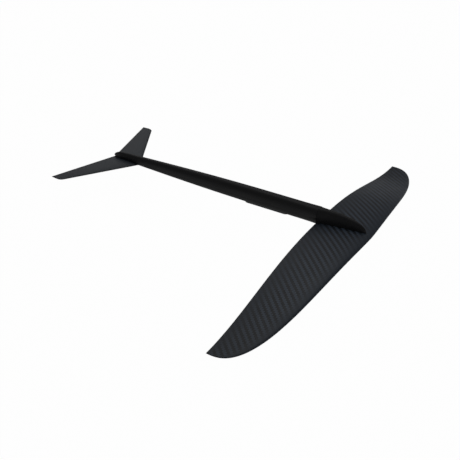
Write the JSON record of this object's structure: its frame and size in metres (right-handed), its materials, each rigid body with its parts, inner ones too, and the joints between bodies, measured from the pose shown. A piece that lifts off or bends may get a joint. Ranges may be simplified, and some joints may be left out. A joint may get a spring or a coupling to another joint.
{
  "type": "hydrofoil wing set",
  "caption": "Hydrofoil set with a high aspect front wing, a slender fuselage with a mast socket, and a small swept stabiliser.",
  "frame": {"origin": "middle of the mast seat, the flat floor of the mast socket in the fuselage", "axes": "+X forward along the fuselage towards the front wing, +Y along the span to the left, +Z out of the smooth side; the mast stands on the -Z side, so the set lies upside down as it does on the ground"},
  "size_m": [0.7783, 0.8976, 0.0928],
  "materials": {
    "twill": "satin carbon twill under a clear coat",
    "painted_carbon": "matte black paint over carbon",
    "slate_carbon": "matte slate coat over carbon",
    "foam": "closed cell foam",
    "laminate": "solid carbon laminate",
    "spar_carbon": "unidirectional carbon",
    "socket_metal": "dark hard anodised",
    "stainless": "machined stainless steel",
    "brass": "machined brass",
    "nylon": "moulded nylon"
  },
  "bodies": {
    "root": {"wing_smooth_skin": "twill", "wing_mast_skin": "twill", "wing_root_block": "laminate", "wing_spar_left": "spar_carbon", "wing_spar_right": "spar_carbon", "wing_front_core_left": "foam", "wing_front_core_right": "foam", "wing_rear_core_left": "foam", "wing_rear_core_right": "foam", "wing_screw_1": "stainless", "wing_screw_2": "stainless", "wing_screw_3": "stainless", "fuselage_smooth_shell": "painted_carbon", "fuselage_mast_shell": "painted_carbon", "fuselage_rear_core": "foam", "fuselage_front_core": "foam", "mast_socket_block": "socket_metal", "mast_insert_1": "stainless", "mast_insert_2": "stainless", "wing_mount_block": "laminate", "wing_insert_1": "brass", "wing_insert_2": "brass", "wing_insert_3": "brass", "tail_block": "laminate", "tail_insert_1": "brass", "tail_insert_2": "brass", "stab_smooth_skin": "slate_carbon", "stab_mast_skin": "slate_carbon", "stab_root_block": "laminate", "stab_core_left": "foam", "stab_core_right": "foam", "stab_saddle": "nylon", "stab_screw_1": "stainless", "stab_screw_2": "stainless"}
  },
  "joints": []
}
